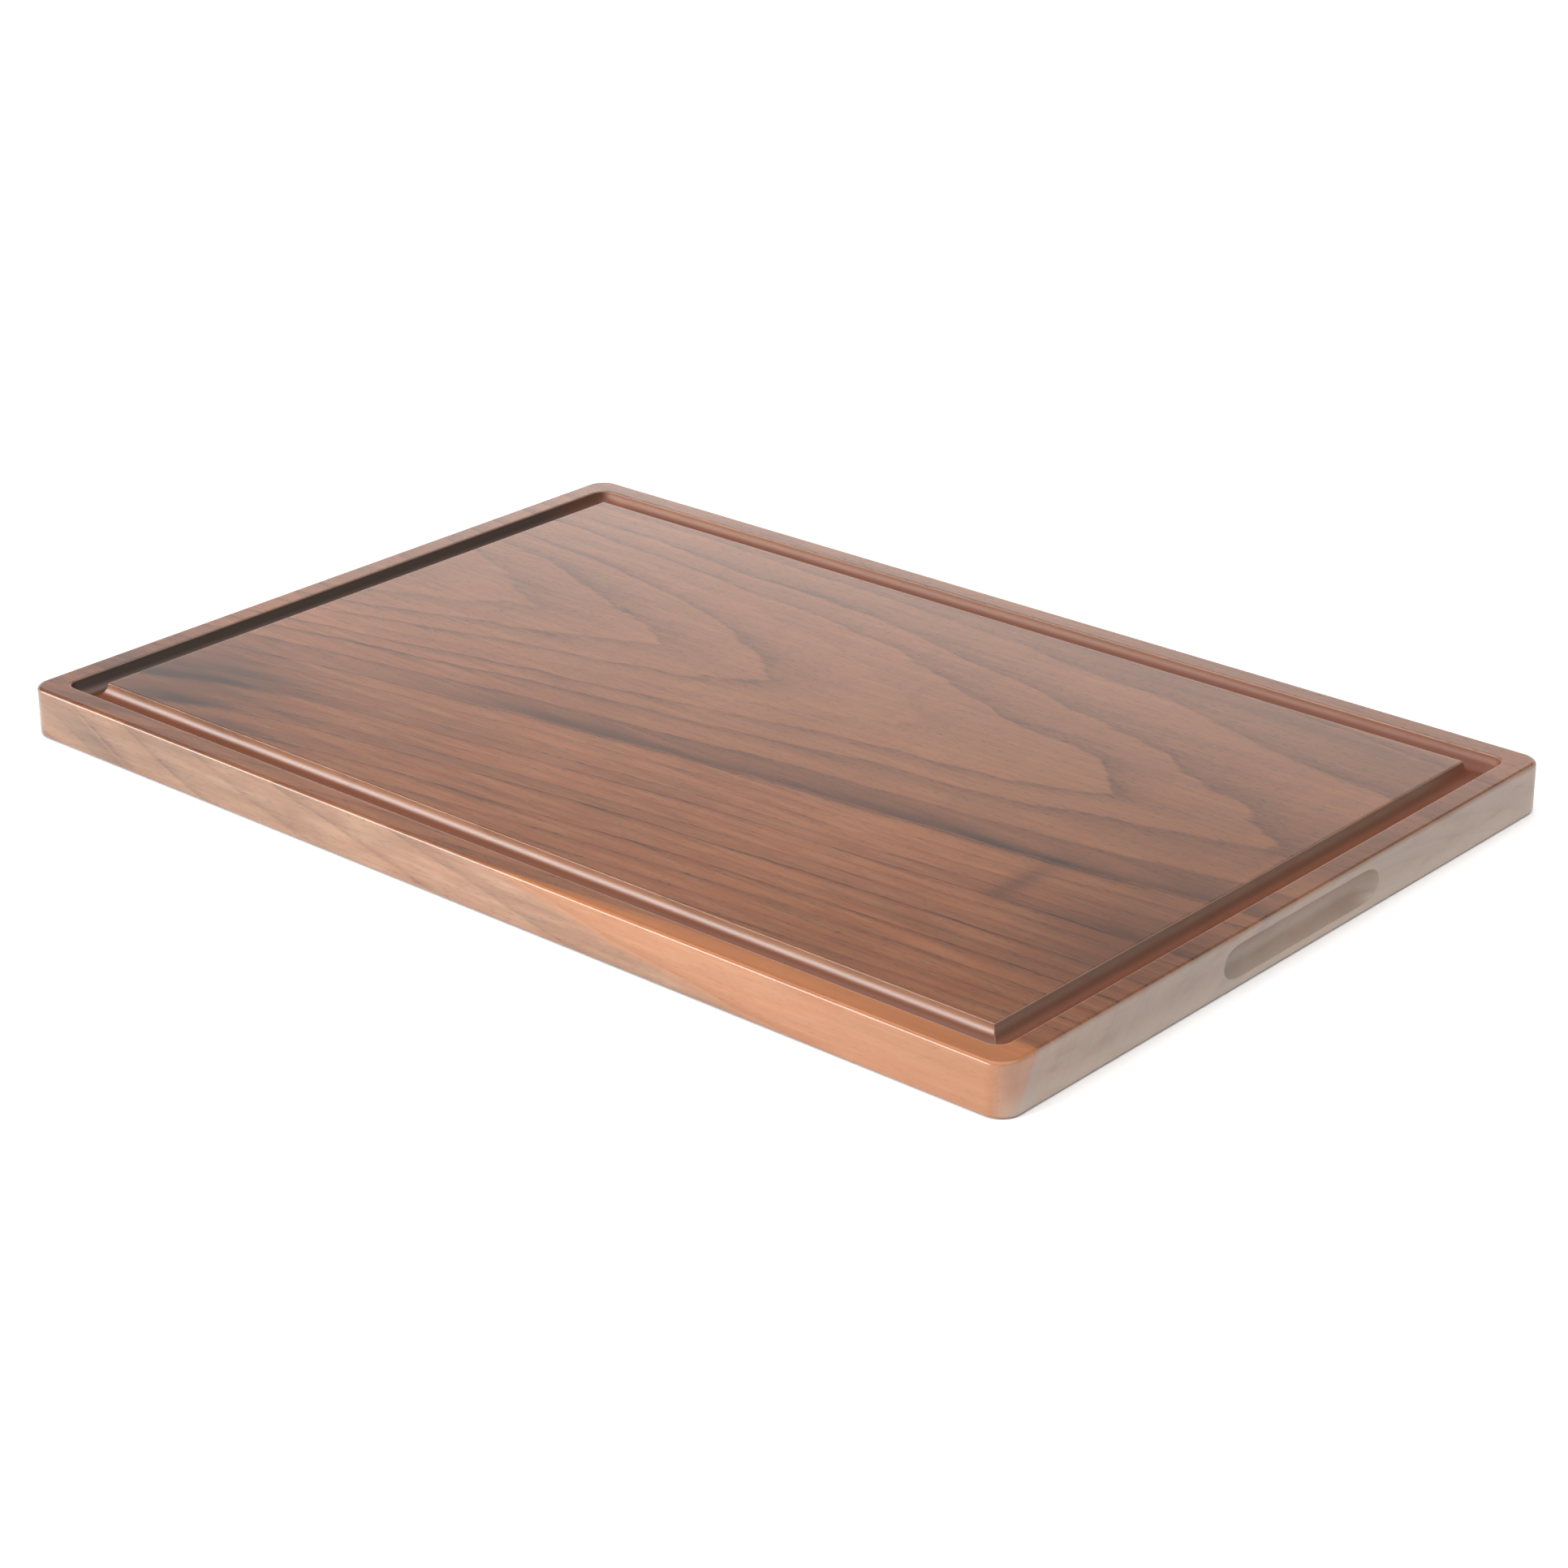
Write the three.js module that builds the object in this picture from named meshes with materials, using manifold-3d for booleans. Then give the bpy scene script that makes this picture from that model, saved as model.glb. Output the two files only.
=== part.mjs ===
// Carving board milled from one walnut plank: a juice groove round the top face
// and a finger grip in each end. Millimetres, +Z up, grain along X. The origin is
// the centre of the underside, which rests on the worktop.

import * as THREE from 'three';
import { mergeVertices } from 'three/addons/utils/BufferGeometryUtils.js';
import Module from 'manifold-3d';

// Plank: 18 x 12 x 3/4 inch.
const LENGTH = 457.2;
const WIDTH = 304.8;
const THICKNESS = 19.05;
const CORNER_RADIUS = 8; // upright corners, seen from above
const ARRIS_RADIUS = 1.5; // round-over along the top and bottom edges
const CORNER_SEGMENTS = 10;
const ARRIS_SEGMENTS = 4;

// Juice groove: a full half-round cut by a round-nosed bit that ran round a
// rectangle, so its outer corners are round and its inner corners are mitred.
const GROOVE_MARGIN = 9.5; // plank edge to the groove's outer rim
const GROOVE_RADIUS = 5.55;
const GROOVE_SEGMENTS = 32; // round the bit's full circle

// Finger grips: a cove cut by a bead-shaped bit on an upright spindle, so that
// the cove runs out gently at both ends of its mouth.
const GRIP_LENGTH = 88.5; // mouth, end to end
const GRIP_DEPTH = 5;
const GRIP_BEAD_RADIUS = 6; // the bit's round rim, which shapes the cove
const GRIP_BIT_RADIUS = 12.7; // spindle to the outside of the bead
const GRIP_OFFSET = 3.5; // mouth's middle, along Y from the middle of the end
const BEAD_SEGMENTS = 14;
const BIT_SEGMENTS = 64;

const OILED_WALNUT = { color: 0x8d5f45, roughness: 0.5, metalness: 0 };

const wasm = await Module();
wasm.setup();

/** A closed geometry as a solid that can be joined and cut. */
function toSolid(geometry) {
  const bare = geometry.clone();
  bare.deleteAttribute('normal');
  bare.deleteAttribute('uv');
  const merged = mergeVertices(bare);
  const mesh = new wasm.Mesh({
    numProp: 3,
    vertProperties: new Float32Array(merged.attributes.position.array),
    triVerts: new Uint32Array(merged.index.array),
  });
  return new wasm.Manifold(mesh);
}

/** A solid as a geometry with flat-shaded faces. */
function toGeometry(solid) {
  const mesh = solid.getMesh();
  const indexed = new THREE.BufferGeometry();
  indexed.setAttribute('position', new THREE.BufferAttribute(mesh.vertProperties, 3));
  indexed.setIndex(new THREE.BufferAttribute(mesh.triVerts, 1));
  const geometry = indexed.toNonIndexed();
  geometry.computeVertexNormals();
  return geometry;
}

/** The blank: a rounded rectangle with its top and bottom edges rounded over. */
function plankBlank() {
  const x = LENGTH / 2;
  const y = WIDTH / 2;
  const r = CORNER_RADIUS;
  const outline = new THREE.Shape();
  outline.moveTo(-x + r, -y);
  outline.lineTo(x - r, -y);
  outline.absarc(x - r, -y + r, r, -Math.PI / 2, 0);
  outline.lineTo(x, y - r);
  outline.absarc(x - r, y - r, r, 0, Math.PI / 2);
  outline.lineTo(-x + r, y);
  outline.absarc(-x + r, y - r, r, Math.PI / 2, Math.PI);
  outline.lineTo(-x, -y + r);
  outline.absarc(-x + r, -y + r, r, Math.PI, 1.5 * Math.PI);
  const blank = new THREE.ExtrudeGeometry(outline, {
    depth: THICKNESS - 2 * ARRIS_RADIUS,
    curveSegments: CORNER_SEGMENTS,
    bevelEnabled: true,
    bevelThickness: ARRIS_RADIUS,
    bevelSize: ARRIS_RADIUS,
    bevelOffset: -ARRIS_RADIUS,
    bevelSegments: ARRIS_SEGMENTS,
  });
  blank.translate(0, 0, ARRIS_RADIUS);
  return toSolid(blank);
}

/** What the round-nosed bit removes: four straight runs and a ball at each corner. */
function grooveCutter() {
  const inset = GROOVE_MARGIN + GROOVE_RADIUS;
  const x = LENGTH / 2 - inset;
  const y = WIDTH / 2 - inset;
  const runs = [];
  for (const side of [-1, 1]) {
    const along = new THREE.CylinderGeometry(GROOVE_RADIUS, GROOVE_RADIUS, 2 * x, GROOVE_SEGMENTS);
    along.rotateZ(Math.PI / 2);
    along.translate(0, side * y, THICKNESS);
    const across = new THREE.CylinderGeometry(GROOVE_RADIUS, GROOVE_RADIUS, 2 * y, GROOVE_SEGMENTS);
    across.translate(side * x, 0, THICKNESS);
    runs.push(along, across);
    for (const end of [-1, 1]) {
      const ball = new THREE.SphereGeometry(GROOVE_RADIUS, GROOVE_SEGMENTS, GROOVE_SEGMENTS / 2);
      ball.rotateX(Math.PI / 2);
      ball.translate(side * x, end * y, THICKNESS);
      runs.push(ball);
    }
  }
  return runs.map(toSolid).reduce((whole, run) => whole.add(run));
}

/** Half of the bit's section, from the spindle out round the bead: [radius, height] points. */
function beadProfile() {
  const core = GRIP_BIT_RADIUS - GRIP_BEAD_RADIUS;
  const points = [new THREE.Vector2(0, -GRIP_BEAD_RADIUS)];
  for (let i = 0; i <= BEAD_SEGMENTS; i += 1) {
    const angle = Math.PI * (i / BEAD_SEGMENTS - 0.5);
    const radius = core + GRIP_BEAD_RADIUS * Math.cos(angle);
    points.push(new THREE.Vector2(radius, GRIP_BEAD_RADIUS * Math.sin(angle)));
  }
  points.push(new THREE.Vector2(0, GRIP_BEAD_RADIUS));
  return points;
}

/** What the bead bit removes from the +X end (side 1) or the -X end (side -1). */
function gripCutter(side) {
  const reach = GRIP_BIT_RADIUS - GRIP_DEPTH; // spindle to the plank's end face
  const runOut = Math.sqrt(GRIP_BIT_RADIUS ** 2 - reach ** 2);
  const travel = GRIP_LENGTH - 2 * runOut;
  const profile = beadProfile();

  const sweep = new THREE.ExtrudeGeometry(new THREE.Shape(profile), {
    depth: travel,
    bevelEnabled: false,
  });
  sweep.translate(0, 0, -travel / 2);
  sweep.rotateX(Math.PI / 2);
  sweep.rotateZ(side > 0 ? Math.PI : 0);
  let cutter = toSolid(sweep);

  for (const end of [-1, 1]) {
    const bit = new THREE.LatheGeometry(profile, BIT_SEGMENTS);
    bit.rotateX(Math.PI / 2);
    bit.translate(0, (end * travel) / 2, 0);
    cutter = cutter.add(toSolid(bit));
  }
  return cutter.translate([side * (LENGTH / 2 + reach), GRIP_OFFSET, THICKNESS / 2]);
}

/** The finished board. */
function board() {
  const milled = plankBlank()
    .subtract(grooveCutter())
    .subtract(gripCutter(1))
    .subtract(gripCutter(-1));
  const mesh = new THREE.Mesh(
    toGeometry(milled),
    new THREE.MeshStandardMaterial(OILED_WALNUT),
  );
  mesh.name = 'walnut_plank';
  return mesh;
}

const carvingBoard = new THREE.Group();
carvingBoard.add(board());

export default carvingBoard;
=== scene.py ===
"""A walnut carving board with a juice groove and finger grips, in soft studio light.

The plank is one closed mesh of quads. Loops of points run round it, from the middle of
the underside, up the edge and over the rim, down through the groove and up to the
island in the middle of the top face. The finger grips are set into the two ends.
"""

import math

import bmesh
import bpy
from mathutils import Matrix, Vector


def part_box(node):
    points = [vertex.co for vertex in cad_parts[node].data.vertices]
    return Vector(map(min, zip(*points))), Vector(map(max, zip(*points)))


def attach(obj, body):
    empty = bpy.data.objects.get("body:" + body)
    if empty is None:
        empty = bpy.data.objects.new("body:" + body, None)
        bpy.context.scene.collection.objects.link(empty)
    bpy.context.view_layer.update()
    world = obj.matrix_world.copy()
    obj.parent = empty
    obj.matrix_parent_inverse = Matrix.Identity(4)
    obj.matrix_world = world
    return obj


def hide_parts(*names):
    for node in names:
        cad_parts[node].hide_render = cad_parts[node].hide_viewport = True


MM = 0.001

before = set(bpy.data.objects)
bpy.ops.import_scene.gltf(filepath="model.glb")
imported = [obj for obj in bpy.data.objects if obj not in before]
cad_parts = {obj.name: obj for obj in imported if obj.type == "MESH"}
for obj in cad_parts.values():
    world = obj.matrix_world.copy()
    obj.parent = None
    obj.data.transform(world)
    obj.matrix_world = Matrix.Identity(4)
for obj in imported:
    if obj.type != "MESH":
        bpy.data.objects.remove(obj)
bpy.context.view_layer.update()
plank_low, plank_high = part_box("walnut_plank")
LENGTH, WIDTH, THICKNESS = plank_high - plank_low

# Plank, in metres like everything in this file.
CORNER_RADIUS = 8 * MM
ARRIS_RADIUS = 1.5 * MM
GROOVE_MARGIN = 9.5 * MM
GROOVE_RADIUS = 5.55 * MM
GROOVE_INSET = GROOVE_MARGIN + GROOVE_RADIUS
GROOVE_EASE = 0.35 * MM  # what sanding took off the groove's rims
MITRE_EASE = 0.3 * MM  # and off the corners of the island

# Finger grips: the path of a bit with a round rim, on an upright spindle.
GRIP_LENGTH = 88.5 * MM
GRIP_DEPTH = 5 * MM
GRIP_BEAD = 6 * MM
GRIP_CORE = 6.7 * MM  # spindle to the middle of the bead
GRIP_OFFSET = 3.5 * MM
GRIP_EASE = 0.4 * MM
GRIP_REACH = GRIP_CORE + GRIP_BEAD - GRIP_DEPTH  # spindle to the end face
GRIP_TRAVEL = GRIP_LENGTH - 2 * math.sqrt((GRIP_CORE + GRIP_BEAD) ** 2 - GRIP_REACH**2)
GRIP_PATCH = GRIP_LENGTH / 2 + 6 * MM  # half the length of the patch that holds a grip

# How finely the mesh is divided.
LONG_STEPS = 96
SHORT_STEPS = (22, 34, 22)  # before, along and after the grip's patch
CORNER_STEPS = 16
ARRIS_STEPS = 6
BAND_STEPS = 24
EASE_STEPS = 5
GROOVE_STEPS = 12
GRIP_STEPS = 12
MERGE_DISTANCE = 0.002 * MM
HOLD = 0.3 * MM  # loop that keeps a flat face flat beside a rounded edge
ISLAND_HOLD = 4 * HOLD  # from the groove's rim to the island's even grid
PATCH_SHARES = (0, 0.3, 0.6, 0.9)  # of the way from a grip patch's border to the grip's mouth


def spread(start, stop, steps):
    """Evenly spaced numbers from start to stop, both included."""
    return [start + (stop - start) * i / steps for i in range(steps + 1)]


def end_stations(reach):
    """Where the loops' points lie along an end of the plank."""
    low = GRIP_OFFSET - GRIP_PATCH
    high = GRIP_OFFSET + GRIP_PATCH
    before = spread(-reach, low, SHORT_STEPS[0])
    along = spread(low, high, SHORT_STEPS[1])
    after = spread(high, reach, SHORT_STEPS[2])
    return before + along[1:] + after[1:]


def corner_arc(centre_x, centre_y, radius, start):
    """The points inside one quarter-circle corner."""
    angles = spread(start, start + math.pi / 2, CORNER_STEPS)[1:-1]
    return [(centre_x + radius * math.cos(a), centre_y + radius * math.sin(a)) for a in angles]


def loop(inset, corner, z):
    """One closed loop of points round the plank, anticlockwise from its front left corner."""
    half_x = LENGTH / 2 - inset
    half_y = WIDTH / 2 - inset
    run_x = half_x - corner
    run_y = half_y - corner
    across = spread(-run_x, run_x, LONG_STEPS)
    along = end_stations(run_y)
    points = [(x, -half_y) for x in across]
    points += corner_arc(run_x, -run_y, corner, -math.pi / 2)
    points += [(half_x, y) for y in along]
    points += corner_arc(run_x, run_y, corner, 0)
    points += [(x, half_y) for x in reversed(across)]
    points += corner_arc(-run_x, run_y, corner, math.pi / 2)
    points += [(-half_x, y) for y in reversed(along)]
    points += corner_arc(-run_x, -run_y, corner, math.pi)
    return [(x, y, z) for x, y in points]


def arris_section():
    """(inset, height) from the flat face out to the edge, round one arris."""
    angles = spread(0, math.pi / 2, ARRIS_STEPS)
    return [(ARRIS_RADIUS * (1 - math.sin(a)), ARRIS_RADIUS * (1 - math.cos(a))) for a in angles]


def groove_section():
    """(distance from the groove's centre line, depth) from the top face to its floor."""
    rim = GROOVE_RADIUS + GROOVE_EASE
    centre = math.sqrt(rim**2 - GROOVE_EASE**2)
    turn = math.acos(GROOVE_EASE / rim)
    section = []
    for a in spread(0, turn, EASE_STEPS):
        section.append((centre - GROOVE_EASE * math.sin(a), GROOVE_EASE * (1 - math.cos(a))))
    for a in spread(math.pi / 2 - turn, math.pi / 2, GROOVE_STEPS)[1:]:
        section.append((GROOVE_RADIUS * math.cos(a), GROOVE_RADIUS * math.sin(a)))
    return section


def holding_loop(z):
    """The loop beside an arris that keeps the flat face flat."""
    inset = ARRIS_RADIUS + HOLD
    return loop(inset, CORNER_RADIUS - inset, z)


def under_loops():
    """The loops from the flat underside out to the edge, round the lower arris."""
    loops = [loop(GROOVE_INSET, 0, 0), holding_loop(0)]
    for inset, height in arris_section():
        loops.append(loop(inset, CORNER_RADIUS - inset, height))
    return loops


def band_heights():
    """Heights of the loops up the flat edge, between the two arrises."""
    return spread(ARRIS_RADIUS, THICKNESS - ARRIS_RADIUS, BAND_STEPS)


def top_loops():
    """The loops from the edge over the rim, through the groove and on to the island."""
    loops = []
    for inset, height in reversed(arris_section()):
        loops.append(loop(inset, CORNER_RADIUS - inset, THICKNESS - height))
    loops.append(holding_loop(THICKNESS))
    section = groove_section()
    rim = section[0][0]
    loops.append(loop(GROOVE_INSET - rim - HOLD, rim + HOLD, THICKNESS))
    for away, depth in section:
        loops.append(loop(GROOVE_INSET - away, max(away, MITRE_EASE), THICKNESS - depth))
    for away, depth in reversed(section[:-1]):
        loops.append(loop(GROOVE_INSET + away, MITRE_EASE, THICKNESS - depth))
    loops.append(loop(GROOVE_INSET + rim + HOLD, MITRE_EASE, THICKNESS))
    loops.append(loop(GROOVE_INSET + rim + ISLAND_HOLD, 0, THICKNESS))
    return loops


def grip_depth(y, z):
    """How deep the grip is at y along the end from its middle and z from mid-thickness."""
    past = max(abs(y) - GRIP_TRAVEL / 2, 0)
    bead = GRIP_CORE + math.sqrt(GRIP_BEAD**2 - z**2)
    return math.sqrt(bead**2 - past**2) - GRIP_REACH


def grip_outline():
    """(angle up the bead, swing round the spindle, which end) round the grip's mouth."""
    rise = math.acos((GRIP_REACH - GRIP_CORE + GRIP_EASE) / (GRIP_BEAD + GRIP_EASE))
    ends = spread(-rise, rise, BAND_STEPS)
    run = spread(-1, 1, SHORT_STEPS[1])
    outline = [(-rise, t) for t in run[:-1]]
    outline += [(a, 1) for a in ends[:-1]]
    outline += [(rise, -t) for t in run[:-1]]
    outline += [(-a, -1) for a in ends[:-1]]
    return outline


def grip_ease(angle, where, share):
    """A point (depth, y, z) on the eased rim: share 0 is on the end face, 1 in the cove."""
    ball = GRIP_BEAD + GRIP_EASE
    out = GRIP_CORE + ball * math.cos(angle)
    swing = 0.0
    if abs(where) == 1:
        swing = math.acos(min((GRIP_REACH + GRIP_EASE) / out, 1))
    side = math.copysign(1, where)
    start = Vector((-1, 0, 0))
    stop = -Vector((
        math.cos(angle) * math.cos(swing),
        side * math.cos(angle) * math.sin(swing),
        math.sin(angle),
    ))
    turn = start.angle(stop)
    facing = (start * math.sin(turn * (1 - share)) + stop * math.sin(turn * share)) / math.sin(turn)
    middle = Vector((
        out * math.cos(swing) - GRIP_REACH,
        where * GRIP_TRAVEL / 2 + side * out * math.sin(swing),
        ball * math.sin(angle),
    ))
    return middle + GRIP_EASE * facing


def patch_border():
    """(y, z) round the rectangle that a grip's patch fills, point for point with its outline."""
    half = THICKNESS / 2 - ARRIS_RADIUS
    along = spread(-GRIP_PATCH, GRIP_PATCH, SHORT_STEPS[1])[:-1]
    up = spread(-half, half, BAND_STEPS)[:-1]
    border = [(y, -half) for y in along]
    border += [(GRIP_PATCH, z) for z in up]
    border += [(-y, half) for y in along]
    border += [(-GRIP_PATCH, -z) for z in up]
    return border


def grip_loops():
    """Loops (depth, y, z) from the patch's border over the rim and in to the grip's spine."""
    outline = grip_outline()
    border = patch_border()
    mouth = [grip_ease(angle, where, 0) for angle, where in outline]
    loops = []
    for share in PATCH_SHARES:
        flat = [Vector((0, y, z)).lerp(m, share) for (y, z), m in zip(border, mouth)]
        loops.append(flat)
    for share in spread(0, 1, EASE_STEPS):
        loops.append([grip_ease(angle, where, share) for angle, where in outline])
    cove = loops[-1]
    rise = abs(outline[0][0])
    for angle in spread(rise, 0, GRIP_STEPS)[1:]:
        share = math.sin(angle) / math.sin(rise)
        ring = []
        for point in cove:
            spine = max(-GRIP_TRAVEL / 2, min(point.y, GRIP_TRAVEL / 2))
            y = spine + (point.y - spine) * share
            z = point.z * share
            ring.append(Vector((grip_depth(y, z), y, z)))
        loops.append(ring)
    return loops


class MeshParts:
    """Collects vertices and faces, with loops and grids as the building blocks."""

    def __init__(self):
        self.vertices = []
        self.faces = []

    def add_loop(self, points):
        start = len(self.vertices)
        self.vertices += [tuple(p) for p in points]
        return range(start, len(self.vertices))

    def bridge(self, first, second, skip=()):
        """Quads between two loops of equal length, except at the skipped places."""
        count = len(first)
        for i in range(count):
            if i in skip:
                continue
            j = (i + 1) % count
            self.faces.append((first[i], first[j], second[j], second[i]))

    def add_chain(self, loops, skip=()):
        """Loops of equal length, each bridged to the next."""
        chain = [self.add_loop(points) for points in loops]
        for first, second in zip(chain, chain[1:]):
            self.bridge(first, second, skip)

    def add_grid(self, inset, z):
        """A flat face inside the loop with that inset and a sharp corner."""
        xs = spread(inset - LENGTH / 2, LENGTH / 2 - inset, LONG_STEPS)
        ys = end_stations(WIDTH / 2 - inset)
        rows = [self.add_loop([(x, y, z) for x in xs]) for y in ys]
        for low, high in zip(rows, rows[1:]):
            for i in range(len(xs) - 1):
                self.faces.append((low[i], low[i + 1], high[i + 1], high[i]))


def grip_columns():
    """The places in a loop where the two grips' patches interrupt the edge band."""
    per_side = sum(SHORT_STEPS) + 1
    right = LONG_STEPS + 1 + CORNER_STEPS - 1
    left = right + per_side + (CORNER_STEPS - 1) * 2 + LONG_STEPS + 1
    before, along, after = SHORT_STEPS
    columns = set()
    for start in (right + before, left + after):
        columns.update(range(start, start + along))
    return columns


def place_grip(ring, side):
    """A grip's loop (depth, y, z) moved to the right end (side 1) or the left end (side -1)."""
    return [(side * (LENGTH / 2 - p.x), GRIP_OFFSET + p.y, THICKNESS / 2 + p.z) for p in ring]


def plank_mesh():
    """All the plank's vertices and faces, with the parts not yet joined where they meet."""
    parts = MeshParts()
    parts.add_chain(under_loops())
    parts.add_chain([loop(0, CORNER_RADIUS, z) for z in band_heights()], grip_columns())
    parts.add_chain(top_loops())
    for side in (-1, 1):
        parts.add_chain([place_grip(ring, side) for ring in grip_loops()])
    parts.add_grid(GROOVE_INSET, 0)
    parts.add_grid(GROOVE_INSET + groove_section()[0][0] + ISLAND_HOLD, THICKNESS)
    return parts


def tidy_mesh(mesh):
    """Joins the parts where they meet, drops faces of no area and turns every face outwards."""
    shape = bmesh.new()
    shape.from_mesh(mesh)
    bmesh.ops.remove_doubles(shape, verts=shape.verts, dist=MERGE_DISTANCE)
    bmesh.ops.dissolve_degenerate(shape, edges=shape.edges, dist=MERGE_DISTANCE / 10)
    bmesh.ops.recalc_face_normals(shape, faces=shape.faces)
    for face in shape.faces:
        face.smooth = True
    shape.to_mesh(mesh)
    shape.free()


def make_plank():
    parts = plank_mesh()
    mesh = bpy.data.meshes.new("plank")
    mesh.from_pydata(parts.vertices, [], parts.faces)
    tidy_mesh(mesh)
    plank = bpy.data.objects.new("plank", mesh)
    bpy.context.scene.collection.objects.link(plank)
    return plank


# ---------------------------------------------------------------- formulas as nodes

class Field:
    """A number that varies from point to point.

    Arithmetic on fields builds Math nodes, so that a material or the studio's glow can be
    written down as formulas. Lengths in the wood's formulas are in millimetres.
    """

    def __init__(self, tree, socket):
        self.tree = tree
        self.socket = socket

    def node(self, kind, *inputs, **settings):
        """A new node of that kind, with its settings and its first inputs."""
        node = self.tree.nodes.new(kind)
        for name, value in settings.items():
            setattr(node, name, value)
        for socket, value in zip(node.inputs, inputs):
            plug(socket, value)
        return node

    def math(self, operation, *others):
        node = self.node("ShaderNodeMath", self, *others, operation=operation)
        return Field(self.tree, node.outputs[0])

    def __add__(self, other):
        return self.math("ADD", other)

    def __sub__(self, other):
        return self.math("SUBTRACT", other)

    def __mul__(self, other):
        return self.math("MULTIPLY", other)

    def __truediv__(self, other):
        return self.math("DIVIDE", other)

    def __pow__(self, other):
        return self.math("POWER", other)

    def __neg__(self):
        return self.math("MULTIPLY", -1)

    def __abs__(self):
        return self.math("ABSOLUTE")

    def __rsub__(self, other):
        return (-self).math("ADD", other)

    __radd__ = __add__
    __rmul__ = __mul__

    def exp(self):
        return self.math("EXPONENT")

    def fraction(self):
        return self.math("FRACT")

    def step(self, low, high):
        """0 below low, 1 above high and smooth between; the other way round if low is more."""
        node = self.node("ShaderNodeMapRange", self, low, high, 0, 1, interpolation_type="SMOOTHSTEP")
        return Field(self.tree, node.outputs[0])

    def curve(self, points, top):
        """The height over this field of straight lines through the points, at most top."""
        low, high = points[0][0], points[-1][0]
        node = self.node("ShaderNodeFloatCurve", 1, (self - low) / (high - low))
        line = node.mapping.curves[0].points
        places = [((x - low) / (high - low), y / top) for x, y in points]
        line[0].location = places[0]
        line[1].location = places[-1]
        for place in places[1:-1]:
            line.new(*place)
        for point in line:
            point.handle_type = "VECTOR"
        node.mapping.update()
        return Field(self.tree, node.outputs[0]) * top


def plug(socket, value):
    """Sets a socket to a number or colour, or links a field or another socket to it."""
    if isinstance(value, Field):
        value.tree.links.new(value.socket, socket)
    elif isinstance(value, bpy.types.NodeSocket):
        value.id_data.links.new(value, socket)
    else:
        socket.default_value = value


def coordinates(tree, kind):
    """The three fields of a Texture Coordinate output, such as Object, Normal or Generated."""
    where = tree.nodes.new("ShaderNodeTexCoord")
    split = tree.nodes.new("ShaderNodeSeparateXYZ")
    tree.links.new(where.outputs[kind], split.inputs[0])
    return tuple(Field(tree, socket) for socket in split.outputs)


def vector(x, y, z):
    return x.node("ShaderNodeCombineXYZ", x, y, z).outputs[0]


def noise(place, lengths, detail=2, offset=0.0):
    """Noise from -1 to 1 or so, whose lumps have about the given lengths along x, y and z."""
    x, y, z = (p / length + offset for p, length in zip(place, lengths))
    node = x.node("ShaderNodeTexNoise", vector(x, y, z))
    node.inputs["Scale"].default_value = 1
    node.inputs["Detail"].default_value = detail
    return (Field(x.tree, node.outputs["Fac"]) - 0.5) * 2


def cells(place, lengths):
    """Distance from the nearest of many scattered points, in shares of the given lengths."""
    x, y, z = (p / length for p, length in zip(place, lengths))
    node = x.node("ShaderNodeTexVoronoi", vector(x, y, z))
    node.inputs["Scale"].default_value = 1
    return Field(x.tree, node.outputs["Distance"])


def patch(x, y, middle, size):
    """A soft oval patch on the board: 1 in its middle, 0 well outside."""
    away = ((x - middle[0]) / size[0]) ** 2 + ((y - middle[1]) / size[1]) ** 2
    return (away * -1).exp()


def mixed(share, first, second):
    """A blend of two numbers or fields: the first where share is 0, the second where it is 1."""
    return first + share * (second - first)


def mix(share, first, second):
    """A blend of two colours."""
    node = share.node("ShaderNodeMix", data_type="RGBA", clamp_factor=True)
    plug(node.inputs["Factor"], share)
    # The node has inputs and outputs of the same name for every type, so these go by number.
    plug(node.inputs[6], first)
    plug(node.inputs[7], second)
    return node.outputs[2]


def srgb(red, green, blue):
    """A colour given as 0-255 screen values, as the linear colour that Blender works in."""
    def linear(value):
        share = value / 255
        return share / 12.92 if share <= 0.04045 else ((share + 0.055) / 1.055) ** 2.4
    return (linear(red), linear(green), linear(blue), 1)


# ---------------------------------------------------------------- studio

# The photo's camera, found by fitting it to the board's edges and corners.
CAMERA_PLACE = (0.8306, -0.93374, 0.54361)
CAMERA_YAW = -41.392  # degrees, clockwise from +Y
CAMERA_PITCH = 23.727  # degrees below level
CAMERA_ROLL = -0.230
SENSOR = 36  # these two in millimetres, as Blender has them
LENS = 86.68

FLOOR_REACH = 12
FLOOR_GAP = 0.05 * MM  # keeps the floor off the underside
FLOOR_WHITE = 0.9

# How bright the parts of the studio are round the board.
DIM_GLOW = 0.12
CEILING_GLOW = 2.9
FRONT_GLOW = 1.85
RIGHT_GLOW = 2.0
BACK_LEFT_GLOW = 2.4
BACKDROP_GLOW = 1.1  # what the camera itself sees behind the floor


def make_camera():
    data = bpy.data.cameras.new("camera")
    data.sensor_width = SENSOR
    data.lens = LENS
    data.clip_start = 0.05
    data.clip_end = 100
    camera = bpy.data.objects.new("camera", data)
    bpy.context.scene.collection.objects.link(camera)
    yaw = math.radians(CAMERA_YAW)
    pitch = math.radians(CAMERA_PITCH)
    roll = math.radians(CAMERA_ROLL)
    level = math.cos(pitch)
    ahead = Vector((math.sin(yaw) * level, math.cos(yaw) * level, -math.sin(pitch)))
    right = Vector((math.cos(yaw), -math.sin(yaw), 0))
    up = right.cross(ahead)
    rolled_right = right * math.cos(roll) + up * math.sin(roll)
    rolled_up = up * math.cos(roll) - right * math.sin(roll)
    turn = Matrix((rolled_right, rolled_up, -ahead)).transposed()
    camera.matrix_world = Matrix.Translation(CAMERA_PLACE) @ turn.to_4x4()
    bpy.context.scene.camera = camera


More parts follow.
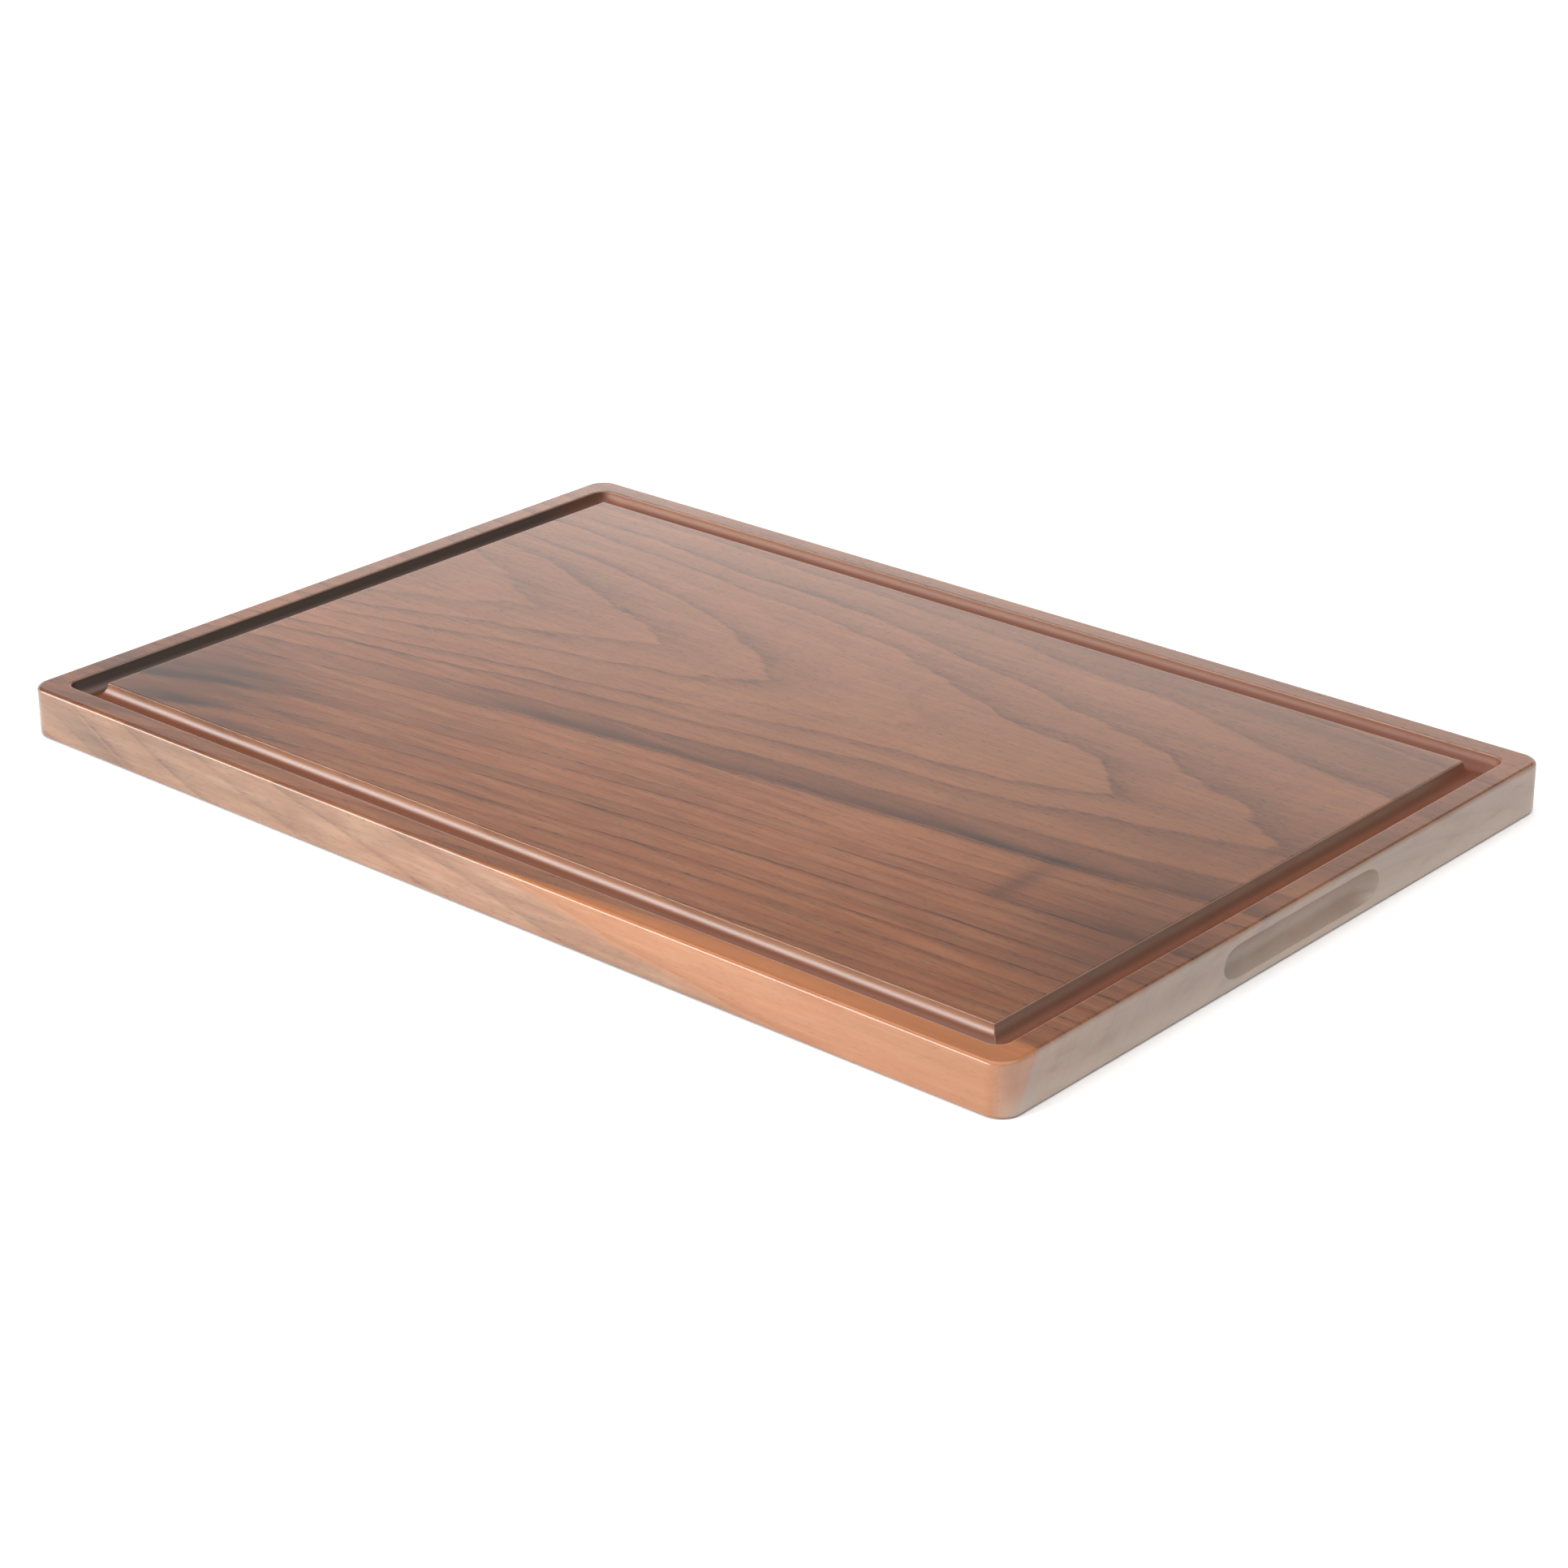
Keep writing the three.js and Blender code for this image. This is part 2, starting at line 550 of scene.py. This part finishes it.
def floor_material():
    material = bpy.data.materials.new("pale_floor")
    material.use_nodes = True
    shader = material.node_tree.nodes["Principled BSDF"]
    shader.inputs["Base Color"].default_value = (FLOOR_WHITE, FLOOR_WHITE, FLOOR_WHITE, 1)
    shader.inputs["Roughness"].default_value = 0.9
    shader.inputs["Specular IOR Level"].default_value = 0.1
    return material


def make_floor():
    mesh = bpy.data.meshes.new("floor")
    signs = ((-1, -1), (1, -1), (1, 1), (-1, 1))
    corners = [(x * FLOOR_REACH, y * FLOOR_REACH, 0) for x, y in signs]
    mesh.from_pydata(corners, [], [(0, 1, 2, 3)])
    mesh.materials.append(floor_material())
    floor = bpy.data.objects.new("floor", mesh)
    floor.location.z = -FLOOR_GAP
    bpy.context.scene.collection.objects.link(floor)


def softbox(name, place, size, power):
    """A soft light aimed at the board, which isn't itself in the picture."""
    data = bpy.data.lights.new(name, "AREA")
    data.shape = "RECTANGLE"
    data.size, data.size_y = size
    data.energy = power
    light = bpy.data.objects.new(name, data)
    light.location = place
    light.rotation_mode = "QUATERNION"
    light.rotation_quaternion = (-Vector(place)).to_track_quat("-Z", "Y")
    light.visible_camera = False
    bpy.context.scene.collection.objects.link(light)


def sine(degrees):
    return math.sin(math.radians(degrees))


def studio_glow(x, y, z):
    """Light from each direction: a bright ceiling, and walls in front, right and back left."""
    ceiling = z.step(sine(46), sine(58))
    # The walls fade out upwards, and are dim behind the camera, between front and right.
    camera_side = (0.7 * x - 0.7 * y).step(0.8, 0.95)
    low = z.step(sine(34), sine(14)) * (1 - 0.8 * camera_side)
    front = (0.26 * x - 0.97 * y).step(-0.15, 0.6) * low
    right = x.step(0.5, 1.0) * low
    # The back left wall is lower towards the left, and dim just above the floor, so that
    # a camera close to the floor doesn't see the whole top face turn white.
    back_left = (0.5 * y - 0.87 * x).step(0.3, 0.85) * (z - 0.14 * x).step(sine(30), sine(23))
    back_left = back_left * z.step(sine(4), sine(13))
    glow = DIM_GLOW + CEILING_GLOW * ceiling + FRONT_GLOW * front
    return glow + RIGHT_GLOW * right + BACK_LEFT_GLOW * back_left


def make_world():
    world = bpy.data.worlds.new("studio")
    bpy.context.scene.world = world
    world.use_nodes = True
    tree = world.node_tree
    glow = studio_glow(*coordinates(tree, "Generated"))
    seen = Field(tree, tree.nodes.new("ShaderNodeLightPath").outputs["Is Camera Ray"])
    background = tree.nodes["Background"]
    background.inputs["Color"].default_value = (1, 1, 1, 1)
    # The board is lit by the studio and reflects it, but the camera sees a plain backdrop.
    plug(background.inputs["Strength"], mixed(seen, glow, BACKDROP_GLOW))


def make_studio():
    make_camera()
    make_floor()
    softbox("front_left", place=(-1.45, -2.15, 0.95), size=(2.6, 0.8), power=85)
    make_world()
    bpy.context.scene.view_settings.view_transform = "Standard"


# ---------------------------------------------------------------- the tree
#
# From here on lengths are in millimetres.

TOP = THICKNESS / MM
HALF_LENGTH = LENGTH / MM / 2
HALF_WIDTH = WIDTH / MM / 2

# The tree's centre line ran lengthwise under the board. How it bends is given for
# distances in hundreds of millimetres to the right of the board's middle.
CENTRE_Y = 31.5  # where it lies furthest back
CENTRE_PEAK = 0.3  # that place, in the same hundreds
CENTRE_BOW = 1.4  # how it curves forward from there, both ways
CENTRE_DEPTH = 172.4  # under the top face, at the board's middle
CENTRE_LEAN = 5.5  # how much deeper it gets to the right
CENTRE_SAG = 0.25  # and how much that lessens

# How tightly the rings are squeezed together in front of that line and behind it, and
# how that changes to the right.
FRONT_SQUEEZE = 1.23
FRONT_TAPER = 0.05
BACK_SQUEEZE = 0.85
BACK_TAPER = -0.05

# Swellings in the tree, which bend the growth rings round them:
# (x, y) of the middle, length and width, and how far they move the rings inwards.
SWELLINGS = (
    ((-225, -135), (60, 40), 12),
    ((106, 33), (30, 40), 1.6),
    ((-35, 85), (45, 25), 1.0),
    ((235, -30), (55, 30), -4.0),
)

# Each year's ring: its outer radius, and how boldly the line round it shows.
RINGS = (
    (130, 0.5), (135, 0.5), (140, 0.5), (145, 0.5), (150, 0.5), (154, 0.5), (158, 0.4),
    (161.9, 0.5), (165.9, 0.8), (169.6, 0.9), (173.2, 0.2), (176.4, 0.9), (180.6, 0.9),
    (187.5, 0.7), (195.8, 0.9), (201, 0.5), (206, 0.35), (211, 0.6), (216, 1.0), (221, 0.4),
    (226.5, 0.5), (232.5, 1.0), (239, 0.4), (245, 0.9), (254, 0.6), (263, 0.5), (271, 0.6),
    (279, 0.5), (286, 0.8), (296, 0.2), (306, 0.2),
)

# Grey-violet colour that the wood took on as it grew: (radius, strength).
PIGMENT = (
    (130, 0.3), (155, 0.15), (163, 0.05), (176, 0.15), (181, 0.3), (187, 0.3), (189, 0.45),
    (195.3, 1.0), (196.3, 0.2), (205, 0.25), (210, 0.5), (211, 0.25), (215.5, 0.8),
    (216.5, 0.2), (226, 0.4), (232, 0.75), (233, 0.2), (238, 0.45), (244.5, 0.7),
    (245.5, 0.3), (262, 0.5), (285.5, 0.6), (286.5, 0.0), (306, 0.0),
)

# Stains of the same colour that follow no ring: (x, y) of the middle, size and strength.
STAINS = (
    ((208, -56), (40, 48), 0.6),
    ((-192, -104), (38, 30), 0.55),
    ((152, -46), (5, 18), 0.5),
    ((227, 62), (12, 32), 0.4),
    ((215, -147), (45, 9), 0.4),
    ((110, 147), (70, 8), 0.35),
)

# Layers of uneven darkness: length along x, y and z, detail and offset of the noise, then
# its strength at the back of the board and how much more it has at the front.
FIBRES = ((11, 0.6, 0.6), 2, 0.0)
LAYERS = (
    ((45, 2, 2), 3, 0.0, 0.18, 0.25),  # streaks
    ((55, 5, 5), 2, 2.2, 0.08, 0.26),  # long blotches
    (*FIBRES, 0.2, 0.0),
    ((28, 0.9, 0.9), 2, 6.6, 0.16, 0.1),  # strands
    ((70, 40, 40), 1, 3.1, 0.1, 0.0),  # clouds
    ((8, 38, 38), 1, 4.4, 0.07, 0.0),  # curl, which runs across the grain
)

# The oiled surface.
ROUGHNESS = 0.2
OIL_IOR = 1.5
PORE_DEPTH = 0.003

# Colours of the wood, with the painted light and shade laid over it.
HEARTWOOD = srgb(136, 90, 62)
SIDE_WOOD = srgb(192, 156, 128)
DARK_WOOD = srgb(29, 16, 10)
WARM_WOOD = srgb(122, 64, 34)
PIGMENTED = srgb(52, 30, 22)
OUTER_WOOD = srgb(163, 101, 59)
# Greyer end grain, lightened with painted sheen.
END_WOOD_AND_SHEEN = srgb(162, 151, 140)
END_BROWN = srgb(116, 84, 66)
# Painted floor bounce on the lower part of the end grain.
END_FLOOR_BOUNCE = srgb(190, 174, 160)
# Painted pale sheen on the upright sides.
PAINTED_SIDE_SHEEN = srgb(168, 148, 128)
# The groove's own orange, made stronger by painted bounce light.
CUT_TINT_AND_BOUNCE = srgb(140, 80, 42)
# Darker routed wood deep in the groove, with painted shade there.
GROOVE_FLOOR_AND_SHADE = srgb(100, 48, 18)
# Painted shade in the groove across the left end.
LEFT_GROOVE_SHADE = srgb(30, 22, 15)
# Darker end grain in the groove, with painted shade towards the left end.
CUT_ENDS_AND_SHADE = srgb(38, 26, 17)
BACK_GROOVE = srgb(100, 44, 10)


def growth_radius(x, y, z):
    """Distance from the tree's centre, which lay under the board and leaned away to the right."""
    far = x / 100
    centre = CENTRE_Y - CENTRE_BOW * (far - CENTRE_PEAK) ** 2
    under = CENTRE_DEPTH + CENTRE_LEAN * far - CENTRE_SAG * far**2 + (z - TOP)
    across = y - centre
    front = across.step(4, -4)
    front_squeeze = FRONT_SQUEEZE + FRONT_TAPER * far
    back_squeeze = BACK_SQUEEZE + BACK_TAPER * far
    away = across * mixed(front, back_squeeze, front_squeeze)
    radius = (away**2 + under**2).math("SQRT")
    # The rings have a slight crest above the centre, which sharpens the figure's tips.
    crest = (-1 * (away**2 + 4).math("SQRT") / 15).exp()
    radius = radius - 2 * crest
    for middle, size, amount in SWELLINGS:
        radius = radius - amount * patch(x, y, middle, size)
    return radius


def end_grain(tree, x, y, z):
    """1 where the surface cuts the fibres off, as all round the grips, 0 where they run along it."""
    faces = abs(coordinates(tree, "Normal")[0]).step(0.25, 0.9)
    depth = GRIP_DEPTH / MM
    height = GRIP_BEAD / MM
    reach = GRIP_PATCH / MM
    near_end = (HALF_LENGTH - abs(x)).step(depth + 1.5, depth + 0.5)
    near_middle = abs(z - TOP / 2).step(height + 1.2, height + 0.4)
    grip = near_end * near_middle * abs(y).step(reach + 10, reach)
    return faces.math("MAXIMUM", grip)


def side_grain(tree):
    """1 on the upright long edges of the board, 0 on its flat faces."""
    return abs(coordinates(tree, "Normal")[1]).step(0.5, 0.95)


def routed(x, y, z, shallow, sunk):
    """0 outside the juice groove and where it is only shallow, 1 where it is sunk."""
    depth = TOP - z
    inset = (HALF_LENGTH - abs(x)).math("MINIMUM", HALF_WIDTH - abs(y))
    # The last two steps leave out everything under the groove and outside it.
    return depth.step(shallow, sunk) * depth.step(8, 7) * inset.step(4, 6)


def crosswise(x, y):
    """1 near the two ends of the board, 0 along its sides."""
    from_end = HALF_LENGTH - abs(x)
    from_side = HALF_WIDTH - abs(y)
    return (from_side - from_end).step(-1, 1)


class Walnut:
    """What the plank is like at each of its points."""

    def __init__(self, tree):
        self.place = tuple(field / MM for field in coordinates(tree, "Object"))
        self.x, self.y, self.z = self.place
        wander = 1.5 * noise(self.place, (60, 20, 20)) + 0.32 * noise(self.place, (12, 4, 4), 2, 7.3)
        self.radius = growth_radius(*self.place) + wander
        self.front = self.y.step(10, -60)
        self.outer = self.radius.step(284, 287)
        self.patchy = (noise(self.place, (90, 14, 14), 2, 5.7) * 0.9 + 1).math("MAXIMUM", 0)
        self.pores = cells(self.place, (6, 0.75, 0.75)).step(0.3, 0.12)
        self.ends = end_grain(tree, *self.place)
        self.sides = side_grain(tree)
        self.cut = routed(*self.place, 0.1, 0.8)
        self.left = self.x.step(100, -100)
        self.back = self.y.step(100, 130)

    def ring_lines(self):
        """(darkness of the growth rings' lines, how early in the year's growth a point is)."""
        counts = [(outer, count) for count, (outer, bold) in enumerate(RINGS)]
        years = self.radius.curve(counts, len(RINGS))
        bold = self.radius.curve(RINGS, 1)
        within = years.fraction()
        early = (within * (-3.2 - 2.2 * self.front)).exp() * within.step(0, 0.07)
        dashes = cells(self.place, (7, 0.9, 0.9)).step(0.5, 0.2)
        lines = early * bold * (0.5 + 0.5 * self.front + 0.2 * dashes) * (0.5 + 0.5 * self.patchy)
        lines = lines + 0.2 * (within * -18).exp() * bold * dashes
        # Fainter lines, three to a year, show at the front only.
        lines = lines + 0.05 * self.front * ((years * 3).fraction() * -5).exp()
        return lines, early

    def darkness(self):
        x, y, front = self.x, self.y, self.front
        lines, early = self.ring_lines()
        dark = 0.09 + lines + self.pores * (0.42 + 0.2 * early)
        for lengths, detail, offset, back, more in LAYERS:
            dark = dark + (back + more * front) * noise(self.place, lengths, detail, offset)
        dark = dark + 0.17 * patch(x, y, (-225, 25), (140, 90))
        dark = dark + 0.07 * x.step(60, 200) + 0.1 * y.step(-40, 50)
        return dark * (1 - 0.1 * self.sides)

    def stripes(self):
        """How much of the grey-violet pigment shows."""
        inner = self.radius.step(198, 196)
        spread_in = 0.35 + 0.65 * self.x.step(-190, -30) - 0.35 * self.y.step(40, 90)
        spread_out = 0.45 + 0.65 * self.x.step(-30, -170)
        stripes = self.radius.curve(PIGMENT, 1) * mixed(inner, spread_out, spread_in) * self.patchy
        for middle, size, strength in STAINS:
            stripes = stripes + strength * patch(self.x, self.y, middle, size)
        return stripes

    def plank_colour(self):
        """The wood itself, before it shows as end grain or in the groove."""
        front = self.front
        fire = noise(self.place, (20, 3, 3), 2, 9.4)
        body = mix(self.sides * 0.48, HEARTWOOD, SIDE_WOOD)
        body = mix(self.darkness(), body, DARK_WOOD)
        body = mix(0.15 + 0.18 * front + (0.2 + 0.35 * front) * fire, body, WARM_WOOD)
        body = mix(self.stripes() * (0.6 + 0.25 * front), body, PIGMENTED)
        return mix(self.outer * 0.55, body, OUTER_WOOD)

    def edge_colour(self, body):
        """End grain in a greyer tone lightened by painted sheen, with browner patches and painted
        floor bounce towards its foot, and painted pale sheen on the upright sides.
        """
        brown = noise(self.place, (60, 22, 5), 2, 8.1).step(0, 0.4)
        # End grain: its own greyer tone, lightened with a painted sheen of the bright studio.
        body = mix(self.ends * (0.5 - 0.25 * self.outer), body, END_WOOD_AND_SHEEN)
        body = mix(self.ends * 0.3 * brown, body, END_BROWN)
        # Painted floor bounce: the end grain grows paler towards its foot, as if lit from the floor.
        body = mix(self.ends * self.z.step(11, 0) * 0.35, body, END_FLOOR_BOUNCE)
        # Painted sheen: a pale grey haze over the upright long sides.
        return mix(self.sides * (0.16 - 0.05 * self.outer), body, PAINTED_SIDE_SHEEN)

    def groove_colour(self, body):
        """Darker and more orange in the groove, from its own tone, painted bounce light and painted
        shade at depth, with painted shade across the grain at the left end.
        """
        # The cut wood's own orange tone, made more orange by painted bounce light between the
        # groove's walls.
        body = mix(self.cut * 0.35, body, CUT_TINT_AND_BOUNCE)
        # The routed wood's darker tone and painted shade: the groove darker and more orange the
        # deeper it goes.
        body = mix(routed(*self.place, 1.6, 4.2) * 0.8, body, GROOVE_FLOOR_AND_SHADE)
        # Painted shade: the groove across the grain at the left end, whose wall faces away from the
        # light.
        body = mix(self.cut * crosswise(self.x, self.y) * 0.5 * self.left, body, LEFT_GROOVE_SHADE)
        # End grain in the groove is darker, with painted shade added towards the left end.
        body = mix(self.cut * self.ends * (0.35 + 0.45 * self.left), body, CUT_ENDS_AND_SHADE)
        back = self.cut * self.back * (0.45 + 0.3 * self.x.step(0, 160))
        return mix(back, body, BACK_GROOVE)

    def colour(self):
        return self.groove_colour(self.edge_colour(self.plank_colour()))

    def roughness(self):
        rough = ROUGHNESS + 0.04 * noise(self.place, *FIBRES) + 0.16 * self.ends
        return rough + 0.12 * self.cut + 0.2 * self.cut * self.back

    def relief(self):
        """Height of the surface: the pores are very shallow pits."""
        return self.pores * -PORE_DEPTH


def walnut_material():
    material = bpy.data.materials.new("oiled_walnut_grain")
    material.use_nodes = True
    tree = material.node_tree
    shader = tree.nodes["Principled BSDF"]
    wood = Walnut(tree)
    plug(shader.inputs["Base Color"], wood.colour())
    plug(shader.inputs["Roughness"], wood.roughness())
    shader.inputs["IOR"].default_value = OIL_IOR
    bump = tree.nodes.new("ShaderNodeBump")
    bump.inputs["Distance"].default_value = MM
    bump.inputs["Strength"].default_value = 1
    plug(bump.inputs["Height"], wood.relief())
    plug(shader.inputs["Normal"], bump.outputs[0])
    return material


# ---------------------------------------------------------------- the scene

make_studio()

plank = make_plank()
plank.data.materials.append(walnut_material())
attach(plank, "root")
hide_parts("walnut_plank")
